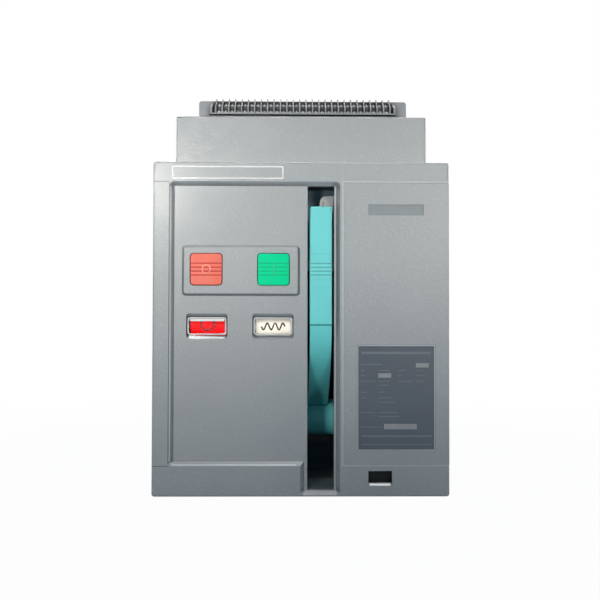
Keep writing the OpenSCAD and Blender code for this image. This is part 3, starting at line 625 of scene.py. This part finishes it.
def drum_patch(name, side, look, turn, width, height, lift):
    """A printed patch on a drum.

    A flat grid, width along the axis and height round it, pressed down at its rim.
    """
    slack = 1e-6
    across = np.linspace(-width / 2, width / 2, 9)[:, None]
    up = np.linspace(-height / 2, height / 2, 13)[None]
    inside = (np.abs(across) < width / 2 - slack) & (np.abs(up) < height / 2 - slack)
    grid = on_drum(side, across + 0 * up, up + 0 * across, turn, np.where(inside, lift, 0.0))
    return smooth(piece(name, grid, look, side + "_indicator"))


def drum_spring(name, side, look, turn, length, swing, coils, line):
    """A spring sign on a drum: a ribbon along a sine wave, widened along the wave's normal."""
    along = np.linspace(-length / 2, length / 2, 90)
    pace = 2 * math.pi * coils / length
    wave = swing * np.sin(pace * along)
    slope = swing * pace * np.cos(pace * along)
    normal = np.stack([-slope, np.ones_like(slope)]) / np.sqrt(1 + slope ** 2)
    offset = np.array([-0.5, -0.3, 0.3, 0.5])[None] * line
    across = along[:, None] + normal[0][:, None] * offset
    up = wave[:, None] + normal[1][:, None] * offset
    lift = 2 * DRUM_LIFT * LINE_PROFILE[None] + 0 * across
    return smooth(piece(name, on_drum(side, across, up, turn, lift), look, side + "_indicator"))


# Two directions along a face, and the way out of it, as (x, d, z)
FACING = {
    "right": ((0, 1, 0), (0, 0, 1), (1, 0, 0)),
    "left": ((0, 0, 1), (0, 1, 0), (-1, 0, 0)),
    "up": ((1, 0, 0), (0, 1, 0), (0, 0, 1)),
    "back": ((0, 0, 1), (1, 0, 0), (0, 1, 0)),
}


def screws(name, places, facing, r, h):
    """Pan-head screws with a cross recess, standing on a face.

    A head is a dome over a short wall: ring and angle give the point, and rise its height in shares
    of h. The height sinks inside a cross, whose arms are where the nearer of the cross's two lines
    is under about an eighth of the radius away.
    """
    dome_edge, dome_foot, wall_top = 0.94, 0.45, 0.4
    arm_half, arm_slope, arm_end, arm_fade, arm_depth = 0.11, 1.6, 0.62, 0.12, 0.5
    angle = np.linspace(0, 2 * math.pi, 40, endpoint=False)[None]
    dome = np.linspace(0, dome_edge, 9)
    ring = np.concatenate([dome, [1.0, 1.0]])[:, None]
    dome_rise = dome_foot + (1 - dome_foot) * np.sqrt(1 - dome ** 2)
    rise = np.concatenate([dome_rise, [wall_top, 0.0]])[:, None]
    u, v = r * ring * np.cos(angle), r * ring * np.sin(angle)
    beside = np.clip(arm_slope - np.minimum(np.abs(u), np.abs(v)) / (arm_half * r), 0, 1)
    arm = beside * np.clip((arm_end - ring) / arm_fade, 0, 1)
    height = h * (rise - arm_depth * arm)
    axes = np.array(FACING[facing], float)
    head = u[..., None] * axes[0] + v[..., None] * axes[1] + height[..., None] * axes[2]
    grid = spot(*np.moveaxis(np.asarray(places, float)[:, None, None] + head[None], -1, 0))
    return smooth(piece(name, grid, "zinc_steel", wrap_columns=True))


def hairlines(name, look, x0, x1, heights, d, line, rise, body):
    """Fine raised lines across a face: half an ellipse carried along x, run down at its ends."""
    along = np.linspace(0, 1, 7)[:, None]
    sweep = np.linspace(math.pi, 0, 7)[None]
    x = x0 + (x1 - x0) * along + 0 * sweep
    high = rise * np.sin(sweep) * run_out(along)
    up = line / 2 * np.cos(sweep) + 0 * along
    copies = np.array([spot(x, d - high, z + up) for z in heights])
    return smooth(piece(name, copies, look, body))


dress_nodes()
ease_edges(0.5, "front_mask", "blank_cover", "terminal_housing")
ease_edges(1.0, "button_bezel")

# Front: label frame, cover, window, tray and the pocket's lips, with painted highlights on the lips
# and cover seams and painted light on the tray
LABEL_FRAME = (-130.3, -18.8, 322.1, 333.9)
COVER_LEFT, COVER_RIGHT, COVER_FOOT, COVER_TOP = 41.6, 149.4, 31.5, 319.5
SEAM_HIGHLIGHT_WIDTH, SEAM_HIGHLIGHT_START = 1.3, 42.4
PLATE_EDGE = (57.3, 134.9, 47.8, 153.0)
LABEL_STRIP = (68.6, 123.6, 285.5, 295.5)
WINDOW_X, WINDOW_BACK = (67.9, 91.9), (64.0, 96.0, 3.6, 30.0)
TRAY_X, TRAY_Z = (2.4, 37.6), 6.36
POCKET_X, POCKET_LIP_X, POCKET_LIP_Z = -132.8, -131.5, (314.0, 36.0)
POCKET_SEAM = (-133.8, POCKET_X, 34.0, 317.0)
BAND_X, BAND_TOP, BAND_LIP_TOP = (-129.0, -4.6), 32.0, 33.4

framed_line("header_label_frame", "white_print", LABEL_FRAME, r=0.6, line=1.4, rise=0.15, d=0.0)
# Painted highlight: pale lines along the cover's left, top and foot seams.
pads("cover_seam_highlight", "plate_rim_and_seam_highlight",
     [(COVER_LEFT, COVER_LEFT + SEAM_HIGHLIGHT_WIDTH, COVER_FOOT, COVER_TOP),
      (SEAM_HIGHLIGHT_START, COVER_RIGHT, COVER_TOP - SEAM_HIGHLIGHT_WIDTH, COVER_TOP),
      (SEAM_HIGHLIGHT_START, COVER_RIGHT, COVER_FOOT, COVER_FOOT + SEAM_HIGHLIGHT_WIDTH)],
     d=0.14, rise=0.2, r=0.3)
framed_line("plate_border", "plate_rim_and_seam_highlight", PLATE_EDGE, r=0.8, line=1.0, rise=0.12, d=0.0)
ledge("window_sill", "lip_steel", ends(WINDOW_X, d=0.0, z=11.7), ends(WINDOW_X, d=2.9, z=14.7),
      rise=0.15)
sheet_plate("window_back", "window_dark", WINDOW_BACK, r=1.5, d=9.2, thick=1.0)
# Painted light: a pale strip on the slot's floor that makes it brighter.
ledge("slot_floor_painted_light", "pale_highlight", ends(TRAY_X, d=8.2, z=TRAY_Z), ends(TRAY_X, d=74.0, z=TRAY_Z),
      rise=0.08)
pads("pocket_seam", "seam_shade", [POCKET_SEAM], d=0.0, rise=0.04, r=0.3)
# Painted highlight: a pale bead along the pocket's left edge.
ledge("pocket_lip_highlight", "pale_highlight", ends(POCKET_X, d=0.0, z=POCKET_LIP_Z),
      ends(POCKET_LIP_X, d=1.6, z=POCKET_LIP_Z), rise=0.3)
# Painted highlight: a pale strip along the top edge of the lower band.
ledge("band_lip_highlight", "pale_highlight", ends(BAND_X, d=0.0, z=BAND_TOP),
      ends(BAND_X, d=1.7, z=BAND_LIP_TOP), rise=0.3)
ledge("sill_lip", "catch_plastic", ends((0.4, 38.6), d=0.3, z=2.8),
      ends((3.8, 35.2), d=4.6, z=6.2), rise=0.2)
pads("cover_label_strip", "label_film", [LABEL_STRIP], d=0.8, rise=0.2, r=0.4)

# Rating plate: rows of plain rules, and bare fields. A row has its height, its thickness in rules
# and the left and right end of each rule.
PLATE_FACE = 0.2
RULE_HALF = 0.42
RULES = [
    (134.0, 1, [(60.5, 82.0)]),
    (127.8, 1, [(60.5, 64.5), (78.0, 90.0), (98.5, 105.5), (116.5, 123.5)]),
    (122.7, 1, [(60.5, 64.5), (98.5, 101.0), (116.5, 125.0)]),
    (117.0, 1, [(60.5, 74.5), (78.0, 89.0), (98.5, 113.0), (116.5, 123.5)]),
    (113.0, 1, [(78.0, 88.5)]),
    (106.0, 1, [(60.5, 66.5), (78.0, 85.5)]),
    (100.3, 1, [(60.5, 66.0), (78.0, 91.5)]),
    (95.8, 1, [(78.0, 94.5)]),
    (85.5, 1, [(60.5, 74.0), (78.0, 98.0)]),
    (81.5, 1, [(78.0, 99.0)]),
    (71.0, 1, [(60.5, 81.5)]),
    (61.8, 2, [(61.0, 131.5)]),
    (53.6, 1, [(61.0, 131.5)]),
    (145.6, 3, [(61.0, 131.0)]),
]
FIELDS = [(116.0, 129.2, 130.9, 135.3), (77.9, 91.1, 120.6, 125.0), (83.7, 117.0, 68.7, 74.1)]
RULE_BOXES = [(x0, x1, z - RULE_HALF * count, z + RULE_HALF * count)
              for z, count, row in RULES for x0, x1 in row]
pads("rating_rules", "faint_rule", RULE_BOXES, d=PLATE_FACE, rise=0.05, r=0.15)
pads("rating_fields", "pale_field", FIELDS, d=PLATE_FACE, rise=0.08, r=0.2)

# Buttons and windows
OPEN_RING, CLOSE_BAR = (-100.2, -91.8, 225.6, 234.0), (-28.7, -27.3, 224.2, 235.4)
LENS_HALF, LENS_FOOT, LENS_TOP = 19.0, 164.1, 180.6
GLARE_BAND, GLARE_X = (-113.0, -78.0, 177.2, 179.6), (-113.8, -76.8)

# Painted highlights: the raised signs get lighter copies of the button colours.
framed_line("open_sign", "red_sign_highlight", OPEN_RING, r=4.1, line=1.3, rise=0.4, d=0.0, body="red_button")
pads("close_sign", "green_sign_highlight", [CLOSE_BAR], d=0.0, rise=0.4, r=0.3, body="green_button")
# Painted highlights: light rims round both lenses.
for side, middle in (("position", -95.5), ("charge", -28.5)):
    lens_box = (middle - LENS_HALF, middle + LENS_HALF, LENS_FOOT, LENS_TOP)
    framed_line(side + "_lens_rim", "lens_rim_highlight", lens_box, r=2.2, line=1.5, rise=0.3, d=6.1)
# Painted glare: a white band across the top of the position window's lens.
pads("position_lens_glare", "painted_lens_glare", [GLARE_BAND], d=6.0, rise=0.25, r=1.1)
# Painted glint: a near-white strip below the position window, partly metallic so it also reflects
# the studio.
ledge("position_sill_glint", "painted_sill_glint", ends(GLARE_X, d=4.9, z=159.3),
      ends(GLARE_X, d=(6.6, 6.5), z=(163.0, 161.4)), rise=0.2)

# Signs on the drums: the first shows at rest, the second when the drum has turned
FIRST, SECOND = 0.0, -48.0
PATCH = dict(turn=SECOND, width=33.0, height=17.0, lift=DRUM_LIFT)
COIL_SWING = 3.4

drum_ring("position_sign_o", "position", "ring_print", FIRST, up=2.7, outer=8.0, line=2.2)
drum_patch("position_green_patch", "position", "green_print", **PATCH)
drum_patch("position_sign_i", "position", "white_print", SECOND, width=2.6, height=13.0,
           lift=2 * DRUM_LIFT)
drum_spring("charge_sign_loose", "charge", "dark_print", FIRST, length=24.0, swing=COIL_SWING,
            coils=3, line=1.7)
drum_patch("charge_yellow_patch", "charge", "yellow_print", **PATCH)
drum_spring("charge_sign_tight", "charge", "dark_print", SECOND, length=15.0, swing=COIL_SWING,
            coils=5, line=1.5)

# Handle and the shield behind its top
SHIELD = (2.0, 38.0, 232.0, 320.0)
GRIP_FACE = 1.0

sheet_plate("slot_shield", "shield_steel", SHIELD, r=2.0, d=64.0, thick=1.2)
hairlines("grip_hairlines", "teal_plastic", 10.2, 29.8, heights=(246.7, 220.3, 212.7),
          d=GRIP_FACE, line=0.7, rise=0.18, body="handle")
# Painted shade: a dark teal line at the step under the grip.
hairlines("grip_foot_shade", "teal_step_shade", 9.0, 31.0, heights=(173.7,), d=GRIP_FACE, line=1.2,
          rise=0.05, body="handle")

# Sides, top and rear
SIDE_X, ROOF_TOP, CHUTE_TOP, BASE_BACK = 146.5, 325.0, 324.0, 238.0
POLES = (-95.0, 0.0, 95.0)
SIDE_PLACES = [(d, z) for d in (150.0, 222.0) for z in (62.0, 142.0, 226.0)]
SIDE_PLACES += [(88.0, z) for z in (30.0, 172.0, 308.0)]
ROOF_PLACES = [(x, 114.0, ROOF_TOP) for x in (-128.0, -44.0, 44.0, 128.0)]
CHUTE_PLACES = [(pole + x, d, CHUTE_TOP)
                for pole in POLES for x in (-37.5, 37.5) for d in (146.5, 223.5)]
BASE_PLACES = [(pole + x, BASE_BACK, z)
               for pole in POLES for x in (-37.0, 37.0) for z in (48.0, 137.0, 240.0)]

for side, x in (("right", SIDE_X), ("left", -SIDE_X)):
    screws(side + "_side_screws", [(x, d, z) for d, z in SIDE_PLACES], side, r=5.0, h=2.8)
screws("roof_screws", ROOF_PLACES, "up", r=4.0, h=2.4)
screws("chute_screws", CHUTE_PLACES, "up", r=2.9, h=1.8)
screws("base_screws", BASE_PLACES, "back", r=3.6, h=2.2)

# Stage

WARM, COOL, PLAIN = (1.04, 1.0, 0.93), (0.62, 1.0, 1.34), (1.0, 1.0, 1.0)
WHITE = (1.0, 1.0, 1.0, 1.0)
WIDE = 180.0


def lamp(name, place, aim, side, beam, power, tone=PLAIN):
    """A square studio lamp at a place, turned to an aim in metres; a grid narrows its beam."""
    data = bpy.data.lights.new(name, "AREA")
    data.color = tone
    data.size = side
    data.spread = math.radians(beam)
    data.energy = power
    obj = bpy.data.objects.new(name, data)
    obj.visible_camera = False
    bpy.context.scene.collection.objects.link(obj)
    obj.location = place
    obj.rotation_euler = (Vector(aim) - Vector(place)).to_track_quat("-Z", "Y").to_euler()


def seen(tree):
    """One for camera, glossy and transmitted rays, which see the white studio."""
    path = add(tree, "ShaderNodeLightPath").outputs
    first = sums(tree, "MAXIMUM", path["Is Camera Ray"], path["Is Glossy Ray"])
    return sums(tree, "MAXIMUM", first, path["Is Transmission Ray"])


def set_world(ambient):
    """A white studio for the rays that see it, and a low even light from all round."""
    world = bpy.data.worlds.new("studio")
    bpy.context.scene.world = world
    world.use_nodes = True
    tree = world.node_tree
    back = tree.nodes["Background"]
    back.inputs["Color"].default_value = WHITE
    strength = spread(tree, seen(tree), low=0.0, high=1.0, to_low=ambient)
    tree.links.new(strength, back.inputs["Strength"])


def lay_floor(half, count=9):
    """A pale floor: a flat grid at height zero, white where it is seen, with a faint shadow."""
    side = np.linspace(-half, half, count)
    x, y = np.meshgrid(side, side, indexing="ij")
    points = np.stack([x, y, 0 * x], axis=-1).reshape(-1, 3)
    mesh = bpy.data.meshes.new("floor")
    quads = grid_quads(np.arange(count ** 2).reshape(count, count))
    mesh.from_pydata(points.tolist(), [], quads.tolist())
    floor = bpy.data.objects.new("floor", mesh)
    bpy.context.scene.collection.objects.link(floor)
    material, tree, body = new_material("pale_floor")
    body.inputs["Base Color"].default_value = (0.26, 0.37, 0.47, 1.0)
    body.inputs["Roughness"].default_value = 0.9
    glow = add(tree, "ShaderNodeEmission", {"Color": WHITE, "Strength": 1.0})
    away = vector_sums(tree, "LENGTH", own_place(tree))["Value"]
    share = sums(tree, "MULTIPLY", seen(tree), spread(tree, away, low=0.4, high=1.0, to_low=0.97))
    mix_to_surface(tree, share, body.outputs["BSDF"], glow.outputs["Emission"])
    mesh.materials.append(material)


PICTURE_WIDTH = 600
SENSOR_WIDTH = 36.0


def set_camera(place, forward, roll, focal):
    """A camera at a place in metres, looking along forward.

    Its right side is lifted by roll degrees, and its focal length is given in pixels of the
    picture's width.
    """
    data = bpy.data.cameras.new("camera")
    data.sensor_width = SENSOR_WIDTH
    data.lens = focal / PICTURE_WIDTH * SENSOR_WIDTH
    data.clip_start = 0.01
    camera = bpy.data.objects.new("camera", data)
    bpy.context.scene.collection.objects.link(camera)
    ahead = Vector(forward).normalized()
    right = ahead.cross(Vector((0, 0, 1))).normalized()
    up = right.cross(ahead)
    tilt = math.radians(roll)
    cos, sin = math.cos(tilt), math.sin(tilt)
    right, up = right * cos + up * sin, up * cos - right * sin
    turned = Matrix((right, up, -ahead)).transposed().to_4x4()
    camera.matrix_world = Matrix.Translation(place) @ turned
    bpy.context.scene.camera = camera


set_camera((-0.0135, FRONT - 0.850, 0.177), forward=(0.0145, 1.0, 0.0257), roll=0.115, focal=841.8)
set_world(ambient=0.04)
lay_floor(half=4.0)
lamp("left_key", (-0.225, FRONT - 0.8, 0.42), (-0.2, FRONT, 0.36),
     side=0.05, beam=56.0, power=0.474, tone=WARM)
lamp("right_key", (0.292, FRONT - 0.8, 0.42), (0.32, FRONT, 0.36),
     side=0.05, beam=56.0, power=0.404, tone=WARM)
lamp("left_low", (-0.347, FRONT - 1.2, 0.14), (-0.05, FRONT, 0.22),
     side=0.08, beam=40.0, power=0.093, tone=WARM)
lamp("right_low", (0.43, FRONT - 1.2, 0.14), (0.05, FRONT, 0.22),
     side=0.08, beam=40.0, power=0.085, tone=WARM)
lamp("corner_glow", (-0.22, FRONT - 0.4, 0.40), (-0.163, FRONT, 0.312),
     side=0.05, beam=19.0, power=0.0085, tone=WARM)
lamp("front_fill", (-0.0135, FRONT - 0.9, 0.3), (0.0, FRONT, 0.2),
     side=0.5, beam=WIDE, power=0.36, tone=COOL)
lamp("top_light", (0.0, FRONT - 0.04, 1.1), (0.0, FRONT - 0.04, 0.0),
     side=0.08, beam=WIDE, power=4.0)
lamp("rear_fill", (0.4, 1.4, 1.3), (0.0, 0.0, 0.2), side=1.2, beam=WIDE, power=14.0)
lamp("left_fill", (-1.3, 0.5, 0.7), (0.0, 0.1, 0.2), side=0.9, beam=WIDE, power=7.0)
lamp("right_fill", (1.3, 0.5, 0.7), (0.0, 0.1, 0.2), side=0.9, beam=WIDE, power=7.0)

bpy.context.scene.view_settings.view_transform = "Standard"
